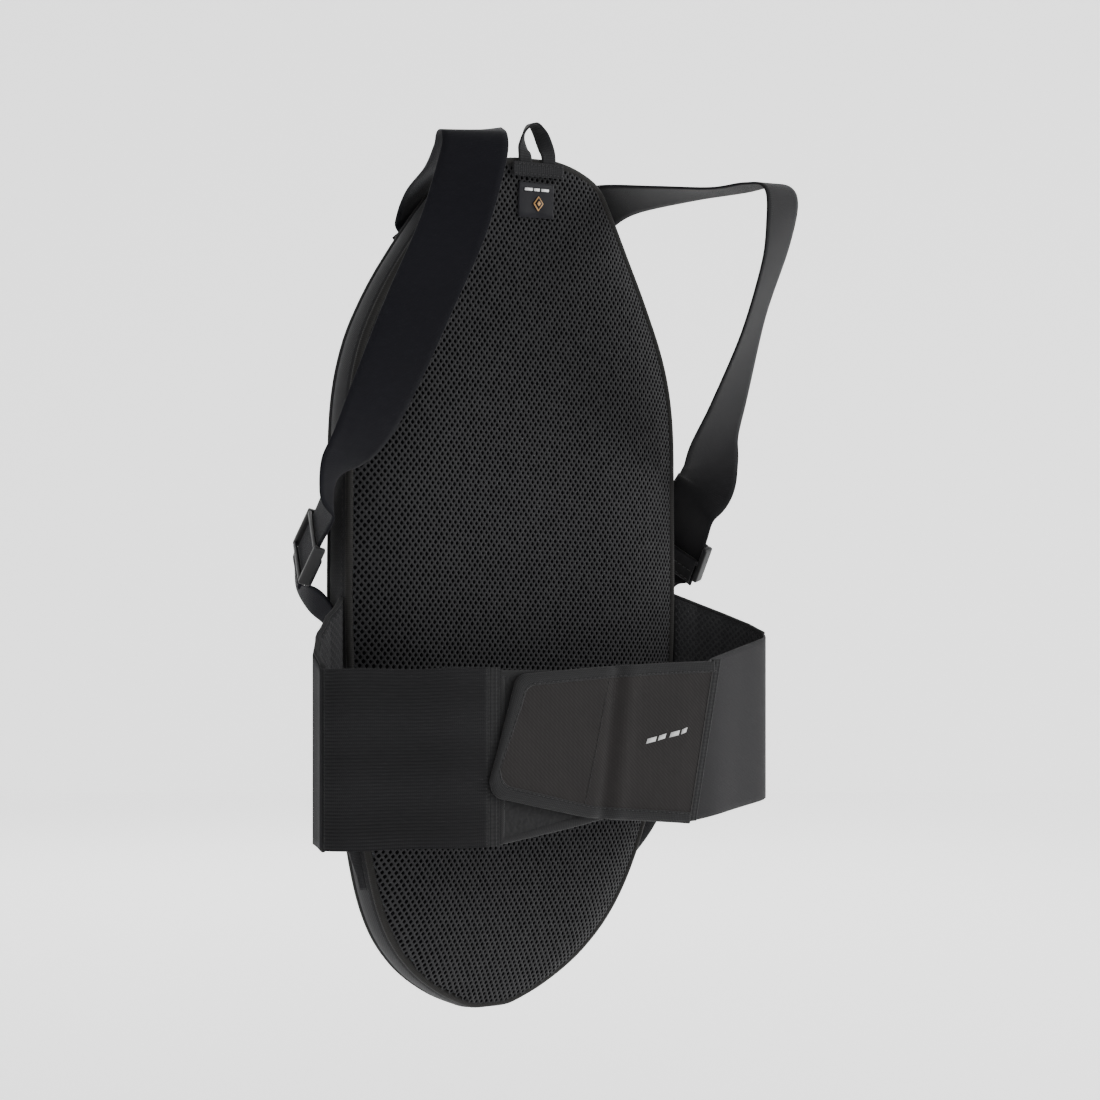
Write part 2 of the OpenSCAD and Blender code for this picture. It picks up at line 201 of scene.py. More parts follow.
# ---- materials
class Nodes:
    """Short names for the shader nodes of one material."""

    def __init__(self, name):
        self.mat = bpy.data.materials.new(name)
        self.mat.use_nodes = True
        self.tree = self.mat.node_tree
        self.bsdf = self.tree.nodes["Principled BSDF"]

    def add(self, kind, inputs=(), **props):
        node = self.tree.nodes.new(kind)
        for key, value in props.items():
            setattr(node, key, value)
        for key, value in dict(inputs).items():
            if isinstance(value, bpy.types.NodeSocket):
                self.tree.links.new(value, node.inputs[key])
            else:
                node.inputs[key].default_value = value
        return node

    def math(self, operation, a, b):
        return self.add("ShaderNodeMath", {0: a, 1: b}, operation=operation).outputs[0]

    def mix(self, factor, a, b):
        node = self.add("ShaderNodeMix", {0: factor}, data_type="RGBA")
        for socket, value in ((node.inputs[6], a), (node.inputs[7], b)):
            if isinstance(value, bpy.types.NodeSocket):
                self.tree.links.new(value, socket)
            else:
                socket.default_value = (*value, 1)
        return node.outputs[2]

    def noise(self, coordinates, scale, detail, rough=0.5):
        return self.add("ShaderNodeTexNoise", {"Vector": coordinates, "Scale": scale, "Detail": detail,
                                               "Roughness": rough}).outputs["Fac"]

    def wave(self, coordinates, period, direction):
        """Bands with the given period in the coordinates' unit."""
        return self.add("ShaderNodeTexWave", {"Vector": coordinates, "Scale": 0.314 / period},
                        bands_direction=direction, wave_profile="SIN").outputs["Fac"]

    def range(self, value, low, high):
        return self.add("ShaderNodeMapRange", {0: value, 3: low, 4: high}).outputs[0]

    def link(self, value, socket):
        self.tree.links.new(value, self.bsdf.inputs[socket])


def cloth(name, color, warp, weft, depth, contrast, blotch=0.15, rough=0.88, sheen=0.06,
          diagonal=False, tint=None):
    """Woven or knitted cloth. warp and weft are thread spacings in mm, read from the piece's UVs in mm."""
    n = Nodes(name)
    uv = n.add("ShaderNodeUVMap", uv_map="cloth_mm").outputs[0]
    place = n.add("ShaderNodeTexCoord").outputs["Object"]
    a = n.wave(uv, warp, "X")
    b = n.wave(uv, weft, "DIAGONAL" if diagonal else "Y")
    weave = n.math("MULTIPLY", n.range(a, 0.45, 1.0), n.range(b, 0.45, 1.0))
    fuzz = n.noise(uv, 2.3, 3.0)
    large = n.noise(place, 26.0, 3.0)
    shade = n.math("ADD", n.range(weave, -contrast, contrast), n.range(large, -blotch, blotch))
    shade = n.math("ADD", shade, n.range(fuzz, -0.12, 0.12))
    shade = n.math("ADD", shade, 1.0)
    scale = n.add("ShaderNodeVectorMath", {0: (*color,), 3: 1.0}, operation="SCALE")
    n.tree.links.new(shade, scale.inputs["Scale"])
    result = scale.outputs[0]
    if tint:
        result = n.mix(n.range(n.noise(place, 45.0, 4.0), 0.0, 0.9), result, tint)
    n.link(result, "Base Color")
    n.link(n.range(fuzz, rough - 0.08, min(rough + 0.08, 1.0)), "Roughness")
    height = n.math("ADD", weave, n.math("MULTIPLY", fuzz, 0.5))
    bump = n.add("ShaderNodeBump", {"Strength": 0.8, "Distance": depth * MM, "Height": height})
    n.link(bump.outputs[0], "Normal")
    n.bsdf.inputs["Sheen Weight"].default_value = sheen
    n.bsdf.inputs["Sheen Roughness"].default_value = 0.5
    n.bsdf.inputs["Specular IOR Level"].default_value = 0.14
    return n.mat


def yarn(name, color, rough, sheen=0.1, spec=0.3, scale=900.0):
    """Knitted yarn whose loops are real geometry: only its fibre and slight colour change are drawn."""
    n = Nodes(name)
    place = n.add("ShaderNodeTexCoord").outputs["Object"]
    fibre = n.noise(place, scale, 3.0, 0.7)
    large = n.noise(place, 12.0, 2.0)
    shade = n.math("ADD", n.range(fibre, 0.62, 1.38), n.range(large, -0.12, 0.12))
    value = n.add("ShaderNodeVectorMath", {0: (*color,)}, operation="SCALE")
    n.tree.links.new(shade, value.inputs["Scale"])
    n.link(value.outputs[0], "Base Color")
    n.link(n.range(fibre, rough - 0.12, rough + 0.1), "Roughness")
    bump = n.add("ShaderNodeBump", {"Strength": 0.5, "Distance": 0.15 * MM, "Height": fibre})
    n.link(bump.outputs[0], "Normal")
    n.bsdf.inputs["Sheen Weight"].default_value = sheen
    n.bsdf.inputs["Specular IOR Level"].default_value = spec
    return n.mat


def plastic(name, color):
    """Moulded black plastic with fine spark texture and rubbed edges."""
    n = Nodes(name)
    place = n.add("ShaderNodeTexCoord").outputs["Object"]
    grain = n.noise(place, 2600.0, 2.0)
    wear = n.noise(place, 160.0, 4.0)
    edge = n.range(n.add("ShaderNodeNewGeometry").outputs["Pointiness"], 0.0, 1.0)
    rubbed = n.math("MULTIPLY", n.math("GREATER_THAN", edge, 0.56), wear)
    n.link(n.mix(rubbed, color, tuple(min(1.0, c * 4 + 0.02) for c in color)), "Base Color")
    n.link(n.range(wear, 0.42, 0.62), "Roughness")
    n.bsdf.inputs["Specular IOR Level"].default_value = 0.3
    bump = n.add("ShaderNodeBump", {"Strength": 0.25, "Distance": 0.05 * MM, "Height": grain})
    n.link(bump.outputs[0], "Normal")
    return n.mat


def foam(name, color):
    """Foam with small open pores."""
    n = Nodes(name)
    place = n.add("ShaderNodeTexCoord").outputs["Object"]
    pores = n.add("ShaderNodeTexVoronoi", {"Vector": place, "Scale": 900.0}).outputs["Distance"]
    n.link(n.mix(n.range(pores, 0.0, 1.0), tuple(c * 0.5 for c in color), color), "Base Color")
    bump = n.add("ShaderNodeBump", {"Strength": 0.8, "Distance": 0.4 * MM, "Height": pores})
    n.link(bump.outputs[0], "Normal")
    n.bsdf.inputs["Roughness"].default_value = 0.95
    return n.mat


THREAD = yarn("air_mesh_yarn", (0.017, 0.017, 0.018), rough=0.8, sheen=0.045, spec=0.16)
# Near-black painted shade for the walls and floors of the mesh holes.
HOLE_SHADE = yarn("air_mesh_hole_painted_shade", (0.0025, 0.0025, 0.003), rough=0.95, sheen=0.0, spec=0.05)
WING_YARN = yarn("wing_mesh_yarn", (0.017, 0.017, 0.018), rough=0.85, sheen=0.05, spec=0.2)
TWILL = cloth("band_twill", (0.018, 0.018, 0.019), 0.9, 1.1, depth=0.2, contrast=0.25, diagonal=True)
COVER = cloth("cover_weave", (0.013, 0.013, 0.014), 1.1, 1.1, depth=0.3, contrast=0.4)
BINDING = cloth("binding_tape", (0.012, 0.012, 0.0125), 1.3, 0.8, depth=0.25, contrast=0.35)
RIM_TAPE = cloth("rim_tape", (0.013, 0.0125, 0.012), 1.3, 0.8, depth=0.25, contrast=0.35)
WEBBING = cloth("webbing", (0.012, 0.012, 0.013), 1.6, 1.0, depth=0.35, contrast=0.4)
ANCHOR = cloth("ribbed_webbing", (0.022, 0.022, 0.024), 2.2, 0.9, depth=0.5, contrast=0.45)
# Both shoulder straps are one knit elastic: the left copy is painted darker as shade and the right copy
# lighter as light.
STRAP_SHADED_L = cloth("left_strap_knit_painted_shade", (0.0018, 0.0018, 0.0036), 0.9, 0.7, depth=0.2, contrast=0.3, sheen=0.04)
STRAP_LIT_R = cloth("right_strap_knit_painted_light", (0.0050, 0.0049, 0.0056), 0.9, 0.7, depth=0.2, contrast=0.3, sheen=0.06)
RIBBED = cloth("ribbed_elastic", (0.0085, 0.0085, 0.0092), 1.2, 40.0, depth=0.2, contrast=0.3, blotch=0.1)
SMOOTH = cloth("smooth_elastic", (0.0088, 0.0085, 0.0095), 0.8, 0.9, depth=0.2, contrast=0.3, rough=0.8)
TAPE = cloth("seam_tape", (0.011, 0.011, 0.0115), 2.4, 1.2, depth=0.4, contrast=0.3)
FLAP = cloth("flap_twill", (0.0100, 0.0086, 0.0083), 0.95, 1.3, depth=0.25, contrast=0.55, blotch=0.45,
             rough=0.68, sheen=0.03, diagonal=True, tint=(0.0078, 0.0066, 0.0067))
PILE = yarn("loop_pile", (0.0055, 0.0055, 0.006), rough=0.95, sheen=0.12, scale=1500.0)
HOOKS = yarn("hook_pile", (0.006, 0.006, 0.006), rough=0.6, sheen=0.0)
LABEL = cloth("label_satin", (0.0025, 0.0025, 0.0045), 0.5, 0.5, depth=0.06, contrast=0.2, rough=0.5,
              sheen=0.05)
STITCH = yarn("sewing_thread", (0.007, 0.007, 0.0075), rough=0.7, sheen=0.05, scale=2500.0)
PRINT = yarn("light_grey_print", (0.42, 0.42, 0.42), rough=0.6, scale=1800.0)
AMBER = yarn("amber_thread", (0.50, 0.28, 0.10), rough=0.6, scale=1800.0)
WHITE = yarn("white_thread", (0.75, 0.75, 0.75), rough=0.6, scale=1800.0)
PLASTIC = plastic("slide_plastic", (0.005, 0.005, 0.0055))


# ---- making pieces
def build(name, verts, faces, materials, body, uv=None, indices=None, *, outward=True):
    """A mesh piece from points in millimetres. uv gives each vertex's place on the cloth in mm.
    A piece without a body is left unattached."""
    mesh = bpy.data.meshes.new(name)
    mesh.from_pydata((np.asarray(verts) * MM).tolist(), [], [list(map(int, f)) for f in faces])
    for m in materials:
        mesh.materials.append(m)
    if indices is not None:
        mesh.polygons.foreach_set("material_index", np.asarray(indices, np.int32))
    if uv is not None:
        layer = mesh.uv_layers.new(name="cloth_mm")
        corner = np.empty(len(mesh.loops), np.int32)
        mesh.loops.foreach_get("vertex_index", corner)
        layer.data.foreach_set("uv", np.asarray(uv, np.float32)[corner].ravel())
    mesh.polygons.foreach_set("use_smooth", np.ones(len(mesh.polygons), bool))
    if outward:
        work = bmesh.new()
        work.from_mesh(mesh)
        bmesh.ops.recalc_face_normals(work, faces=work.faces)
        work.to_mesh(mesh)
        work.free()
    mesh.update()
    piece = bpy.data.objects.new(name, mesh)
    bpy.context.scene.collection.objects.link(piece)
    if body:
        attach(piece, body)
    return piece


def sharp(piece, degrees):
    """Keeps edges over this angle crisp."""
    piece.data.set_sharp_from_angle(angle=math.radians(degrees))


def loft(rings, closed=False):
    """Faces between rings of equal size; the ends are capped unless the rings meet."""
    rings = np.asarray(rings, float)
    r, c = rings.shape[:2]
    rows = range(r if closed else r - 1)
    faces = [(i * c + j, i * c + (j + 1) % c, (i + 1) % r * c + (j + 1) % c, (i + 1) % r * c + j)
             for i in rows for j in range(c)]
    if not closed:
        faces += [tuple(range(c))[::-1], tuple((r - 1) * c + j for j in range(c))]
    return rings.reshape(-1, 3), faces


def both_sides(front, back):
    """Rows that run over the front grid and back over the rear one."""
    return np.concatenate([front, back[:, ::-1]], axis=1)


def plate_faces(n):
    """Faces of a flat plate with n corners in front and as many behind."""
    sides = [(j, (j + 1) % n, n + (j + 1) % n, n + j) for j in range(n)]
    return [tuple(range(n)), tuple(range(2 * n - 1, n - 1, -1))] + sides


def ribbon(name, centre, side, half, section, materials, body):
    """A strip of cloth. section lists (across from -1 to 1, out of the cloth in mm) round its edge."""
    centre, side = np.asarray(centre, float), unit(side)
    t = tangents(centre)
    side = unit(side - (side * t).sum(1, keepdims=True) * t)
    normal = np.cross(t, side)
    half = np.broadcast_to(np.asarray(half, float), (len(centre),))
    section = np.asarray(section, float)
    a = section[None, :, 0, None] * half[:, None, None] * side[:, None]
    rings = centre[:, None] + a + section[None, :, 1, None] * normal[:, None]
    verts, faces = loft(rings)
    run = lengths(centre)
    uv = np.stack([np.broadcast_to(run[:, None], rings.shape[:2]),
                   section[None, :, 0] * half[:, None]], axis=-1).reshape(-1, 2)
    return build(name, verts, faces, materials, body, uv)


def flat_section(t, columns, cup=0.0):
    """A thin strip with rounded edges, cupped a little across its width."""
    a = np.linspace(-1, 1, columns + 1)
    top = [(x * 0.985, t / 2 - cup * x * x) for x in a]
    low = [(x * 0.985, -t / 2 - cup * x * x) for x in a[::-1]]
    return [(-1, -cup)] + top + [(1, -cup)] + low


def ribbed_section(t, width, pitch, depth):
    """A strip whose faces carry ribs along its length."""
    ribs = int(width / pitch)
    a = np.linspace(-1, 1, ribs * 4 + 1)
    wave = depth * (0.5 + 0.5 * np.cos(np.linspace(0, ribs * 2 * math.pi, len(a)))) ** 0.7
    top = list(zip(a, t / 2 - depth + wave))
    low = list(zip(a[::-1], -t / 2 + depth - wave))
    return top + low


def between_lines(name, low, high, section, materials, body, spacing=3.0):
    """A ribbon between two edge lines."""
    low, high = np.asarray(low, float), np.asarray(high, float)
    both = resample(np.hstack([low, high]), spacing)
    a, b = both[:, :3], both[:, 3:]
    centre, half = (a + b) / 2, (b - a) / 2
    normal = unit(np.cross(tangents(centre), half))
    section = np.asarray(section, float)
    across, out = section[None, :, 0, None], section[None, :, 1, None]
    rings = centre[:, None] + across * half[:, None] + out * normal[:, None]
    verts, faces = loft(rings)
    run = lengths(centre)
    width = np.linalg.norm(half, axis=1)
    uv = np.stack([np.broadcast_to(run[:, None], rings.shape[:2]), across[..., 0] * width[:, None]], axis=-1)
    return build(name, verts, faces, materials, body, uv.reshape(-1, 2))


def tube_along(name, path, out, section, materials, body):
    """A binding along a closed path. section lists (out in mm, along +Y in mm)."""
    section = np.asarray(section, float)
    rings = path[:, None] + section[None, :, 0, None] * out[:, None] + section[None, :, 1, None] * Y
    verts, faces = loft(rings, closed=True)
    uv = np.stack(np.meshgrid(lengths(path), lengths(section), indexing="ij"), axis=-1).reshape(-1, 2)
    return build(name, verts, faces, materials, body, uv)


def ellipse(centre_out, centre_y, radius_out, radius_y, count=12):
    a = np.arange(count) / count * 2 * math.pi
    return np.stack([centre_out + radius_out * np.cos(a), centre_y + radius_y * np.sin(a)], axis=1)


def stitches(name, path, normal, body, length=2.6, gap=1.3, width=0.5, height=0.35):
    """A row of single stitches that lie on the cloth along a path."""
    path = np.asarray(path, float)
    line = resample(np.hstack([path, np.broadcast_to(normal, path.shape)]), length + gap)
    p, up = line[:, :3], unit(line[:, 3:])
    t = tangents(p)
    across = np.cross(t, up)
    verts, faces = [], []
    for i in range(len(p)):
        base = len(verts)
        for along, grow in ((-0.5, 0.35), (-0.2, 1.0), (0.2, 1.0), (0.5, 0.35)):
            c = p[i] + t[i] * along * length
            w, h = across[i] * width / 2 * grow, up[i] * height * grow
            verts += [c - w - 0.15 * h, c + w - 0.15 * h, c + 0.7 * w + h, c - 0.7 * w + h]
        for k in range(3):
            a = base + 4 * k
            faces += [(a + j, a + (j + 1) % 4, a + 4 + (j + 1) % 4, a + 4 + j) for j in range(4)]
        faces += [(base + 3, base + 2, base + 1, base), (base + 12, base + 13, base + 14, base + 15)]
    return build(name, np.array(verts), faces, [STITCH], body)


PITCH_X, PITCH_Y = 3.9, 2.6


def air_mesh(name, surface, inside, low, high, body, thread=THREAD, tilt=3.0, depth=1.5):
    """Open knit spacer mesh: staggered cells, each a ring of yarn round a sunk hole.
    surface maps (x, s) to a point, inside says which cell centres to keep."""
    corner = (PITCH_Y**2 - PITCH_X**2 / 4) / (2 * PITCH_Y)
    tip = PITCH_Y - corner
    hexagon = np.array([(PITCH_X / 2, -corner), (PITCH_X / 2, corner), (0, tip),
                        (-PITCH_X / 2, corner), (-PITCH_X / 2, -corner), (0, -tip)])
    reach = np.abs(np.array([low, high])).max() * 1.3
    rows = np.arange(-int(reach / PITCH_Y), int(reach / PITCH_Y) + 1)
    cols = np.arange(-int(reach / PITCH_X), int(reach / PITCH_X) + 1)
    jj, ii = np.meshgrid(rows, cols, indexing="ij")
    centres = np.stack([(ii + 0.5 * (jj % 2)) * PITCH_X, jj * PITCH_Y], axis=-1).reshape(-1, 2)
    angle = math.radians(tilt)
    turn = np.array([[math.cos(angle), math.sin(angle)], [-math.sin(angle), math.cos(angle)]])
    world = centres @ turn
    keep = ((world >= low) & (world <= high)).all(1)
    keep[keep] = inside(world[keep, 0], world[keep, 1])
    centres = centres[keep]
    seeded = np.random.default_rng(7)
    size = 1 + seeded.uniform(-0.10, 0.10, (len(centres), 1, 1))
    rings = [centres[:, None] + hexagon, centres[:, None] + hexagon * vec(0.47, 0.70) * size,
             centres[:, None] + hexagon * vec(0.37, 0.57) * size]
    outer = np.round(rings[0].reshape(-1, 2) * 50).astype(np.int64)
    unique, first, back = np.unique(outer, axis=0, return_index=True, return_inverse=True)
    flat = np.vstack([rings[0].reshape(-1, 2)[first], *(ring.reshape(-1, 2) for ring in rings[1:])]) @ turn
    n, u = len(centres), len(unique)
    sink = np.concatenate([np.zeros(u), np.full(6 * n, 0.35), np.full(6 * n, depth)])
    p = surface(flat[:, 0], flat[:, 1])
    e = 0.5
    dx = surface(flat[:, 0] + e, flat[:, 1]) - surface(flat[:, 0] - e, flat[:, 1])
    ds = surface(flat[:, 0], flat[:, 1] + e) - surface(flat[:, 0], flat[:, 1] - e)
    normal = unit(np.cross(ds, dx))
    verts = p - normal * sink[:, None]
    a = back.reshape(n, 6)
    b = u + np.arange(6 * n).reshape(n, 6)
    c = b + 6 * n
    nxt = np.roll(np.arange(6), -1)
    rim = np.stack([a, a[:, nxt], b[:, nxt], b], axis=-1).reshape(-1, 4)
    wall = np.stack([b, b[:, nxt], c[:, nxt], c], axis=-1).reshape(-1, 4)
    faces = rim.tolist() + wall.tolist() + c.tolist()
    # Hole walls and floors get the near-black painted shade material.
    index = [0] * len(rim) + [1] * len(wall) + [1] * n
    return build(name, verts, faces, [thread, HOLE_SHADE], body, flat, index, outward=False)


# ---- the panel
def inside_panel(inset):
    def test(x, s):
        scaled = half_width(np.clip(s, 0, PANEL_H))
        slope = np.abs(half_width(np.clip(s + 2, 0, PANEL_H)) - half_width(np.clip(s - 2, 0, PANEL_H))) / 4
        room = inset * np.sqrt(1 + slope**2)
        return (np.abs(x) < scaled - room) & (s > inset) & (s < PANEL_H - inset)
    return test


def make_panel():
    """Mesh face, side band, bindings and outer cover."""
    split = 368.0
    upper = air_mesh("mesh_face_upper", face_point, inside_panel(3.0), (-140, 0), (140, split), "panel")
    lower = air_mesh("mesh_face_lower", face_point, inside_panel(3.0), (-140, split), (140, 560), "panel")
    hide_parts("mesh_liner")

    path, out = outline_loop(3.0)
    band = tube_along("side_band_twill", path, out,
                      [(-0.4, -0.4), (0.7, 2.5), (1.3, 6), (1.5, 9), (1.3, 12), (0.7, 15.5), (-0.4, 18.2),
                       (-1.8, 18.0), (-1.8, 0)], [TWILL], "panel")
    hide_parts("side_band")
    front = tube_along("front_binding_tape", path, out, ellipse(-2.1, -1.9, 2.6, 2.3, 16), [RIM_TAPE],
                       "panel")
    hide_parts("front_binding")
    rear = tube_along("rear_binding_tape", path, out, ellipse(-0.9, 18.8, 1.9, 2.0), [BINDING],
                      "panel")
    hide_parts("rear_binding")
    outward = np.vstack([out, out[:1]])
    stitches("front_binding_stitches", np.vstack([path, path[:1]]) + vec(0, 1.6, 0) + outward * 0.75, outward,
             "panel", width=0.4, height=0.2)

    columns, rows = 80, 150
    s = PANEL_H / 2 * (1 - np.cos(np.linspace(0.035, math.pi - 0.035, rows)))
    u = np.sin(np.linspace(-math.pi / 2, math.pi / 2, columns))
    grid_s = np.broadcast_to(s[:, None], (rows, columns))
    grid_x = u[None] * (half_width(s)[:, None] - 1.9)
    outer = cover_point(grid_x, grid_s)
    inner = outer - vec(0, 2.2, 0)
    verts, faces = loft(both_sides(outer, inner))
    grid = np.stack([grid_x, grid_s], -1)
    uv = both_sides(grid, grid)
    cover = build("outer_cover_cloth", verts, faces, [COVER], "panel", uv.reshape(-1, 2))
    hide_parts("outer_cover")
    for k, channel in enumerate(FLEX_CHANNELS):
        x = np.linspace(-0.93, 0.93, 60) * half_width(channel)
        line = cover_point(x, channel + CHANNEL_BOW * x**2) + vec(0, 0.1, 0)
        stitches(f"cover_channel_stitches_{k + 1}", line, Y, "panel")


def make_top():
    """Hanging loop, its patch and the size label."""
    route = smooth([(9, -5.2, -29), (9, -4.6, -20), (8.4, -2.6, -14), (5.6, -0.4, -5), (0, 0, 0.7),
                    (-5.6, 0.4, -5), (-8.4, -2.0, -14), (-9, -4.6, -20), (-9, -5.2, -29)], 8)
    side = smooth([(-1, 0, 0), (-1, 0.1, 0), (-0.85, 0.5, 0), (-0.45, 0.9, 0), (0, 1, 0),
                   (0.45, 0.9, 0), (0.85, 0.5, 0), (1, 0.1, 0), (1, 0, 0)], 8)
    loop = ribbon("hanging_loop_webbing", route, -side, 5.0, flat_section(1.2, 6, 0.1), [WEBBING],
                  "panel")
    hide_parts("hang_loop")
    low, high = node_box("loop_patch")
    middle = (low + high) / 2
    depth = middle[1] + 0.3
    patch = between_lines("loop_patch_webbing", [(low[0], depth, high[2]), (high[0], depth, high[2])],
                          [(low[0], depth, low[2]), (high[0], depth, low[2])],
                          flat_section(1.0, 6, 0.25), [WEBBING], "panel", spacing=1.5)
    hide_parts("loop_patch")
    for k, z in enumerate((high[2] - 1.6, low[2] + 1.6)):
        row = [(low[0] + 1.5, low[1] - 0.1, z), (high[0] - 1.5, low[1] - 0.1, z)]
        stitches(f"loop_patch_stitches_{k + 1}", row, -Y, "panel", length=2.0, gap=0.9)

    low, high = node_box("size_label")
    x = np.linspace(low[0] + 1, high[0] - 1, 12)
    tops = np.array([face_point(v, TOP - high[2]) + vec(0, -0.7, 0) for v in x])
    ends = np.array([face_point(v, TOP - low[2]) + vec(0, -0.7 - 0.25 * math.sin(0.9 * k), 0)
                     for k, v in enumerate(x)])
    label = between_lines("size_label_satin", tops, ends, flat_section(0.4, 6, 0.4), [LABEL], "panel",
                          1.5)
    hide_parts("size_label")

    def mark(name, outline, material):
        """A small flat woven mark on the label from an outline in (x, distance down the label)."""
        pts = np.array([face_point(px, TOP - high[2] + d) for px, d in outline])
        front, back = pts + vec(0, -1.7, 0), pts + vec(0, -1.0, 0)
        build(name, np.vstack([front, back]), plate_faces(len(pts)), [material], "panel")

    for k, (x0, x1) in enumerate(((-9, -3.4), (-2, 2), (3.6, 9))):
        mark(f"label_bar_{k + 1}", [(x0, 3.6), (x1, 3.6), (x1, 5.2), (x0, 5.2)], WHITE)
    for k, (size, material) in enumerate(((4.6, AMBER), (3.7, LABEL), (1.6, AMBER))):
        diamond = [(0, 13 - size), (size * 0.8, 13), (0, 13 + size), (-size * 0.8, 13)]
        pts = np.array([face_point(px + 1.5, TOP - high[2] + d) for px, d in diamond])
        front = pts + vec(0, -1.6 - 0.25 * k, 0)
        build(f"label_diamond_{k + 1}", np.vstack([front, pts + vec(0, -1.0, 0)]), plate_faces(4), [material],
              "panel")


# ---- shoulder straps
SLIDE_AT = vec(142, 35, -266)
ALONG = unit(SLIDE_AT - vec(131, -34, -172))
ACROSS = vec(0.35, -0.81, -0.47)
ACROSS = unit(ACROSS - (ACROSS @ ALONG) * ALONG)
OUT = np.cross(ACROSS, ALONG)
RIGHT_OVER = [
    (54, 36.8, -68), (62, 36.6, -57), (70, 32, -46), (77, 12, -40), (89, -33, -40),
    (101, -72, -41), (109, -94, -39), (113.5, -106, -43), (115.5, -107, -57),
]
RIGHT_OVER_ACROSS = [
    (0.78, 0, -0.62), (0.78, 0, -0.62), (0.82, 0.1, -0.55), (0.88, 0.22, -0.36), (0.96, 0.24, -0.12),
    (0.96, 0.24, 0.04), (0.95, 0.28, 0.08), (0.94, 0.34, 0), (0.92, 0.4, 0),
]
LEFT_OVER = [
    (54, 36.8, -68), (58.5, 37, -60), (64, 35, -51), (71, 10, -36.5), (83, -35, -29.5),
    (98, -72, -26), (109, -94, -25), (113.5, -106, -29), (115.5, -107, -43),
]
LEFT_OVER_ACROSS = [
    (0.78, 0, -0.62), (0.76, 0, -0.65), (0.74, 0.05, -0.66), (0.78, 0.15, -0.6), (0.84, 0.24, -0.46),
    (0.92, 0.26, -0.26), (0.95, 0.28, -0.08), (0.94, 0.34, 0), (0.92, 0.4, 0),
]
STRAP_DOWN = [
    (121, -94, -82), (126, -66, -124), (131, -34, -172), SLIDE_AT - 85 * ALONG,
    SLIDE_AT - 66 * ALONG + vec(4, 0, 0), SLIDE_AT - 50 * ALONG + vec(4.5, -1, 0),
    SLIDE_AT - 36 * ALONG, SLIDE_AT - 15 * ALONG,
    SLIDE_AT + 13 * ALONG, SLIDE_AT + 20 * ALONG, (140, 46.5, -292), (133, 40, -301),
    (128, 33.5, -310), (127.2, 31, -319),
]
STRAP_DOWN_ACROSS = [
    (0.84, 0.54, 0), (0.8, 0.6, 0), (0.94, 0.34, 0), (0.97, 0.04, 0.04), (0.94, -0.22, -0.04),
    (0.76, -0.54, -0.26), ACROSS, ACROSS, ACROSS,
    ACROSS, (0.32, -0.93, 0.12), (0.1, -0.83, 0.55), (0, -0.91, 0.41), (0, -0.93, 0.37),
]
STRAP_HALF = 19.6
GATHERED = 11.6
STRAP_GATHER = [0] * 19 + [0.42, 0.75, 1, 1]


def rounded_box(size, centre, axes, bevel):
    """Bevelled box: its points and faces."""
    work = bmesh.new()
    bmesh.ops.create_cube(work, size=1.0)
    for v in work.verts:
        v.co = Vector((v.co.x * size[0], v.co.y * size[1], v.co.z * size[2]))
    bmesh.ops.bevel(work, geom=work.edges[:], offset=bevel, segments=3, profile=0.6, affect="EDGES")
    work.verts.ensure_lookup_table()
    verts = np.array([v.co[:] for v in work.verts]) @ axes + centre
    faces = [tuple(v.index for v in f.verts) for f in work.faces]
    work.free()
    return verts, faces


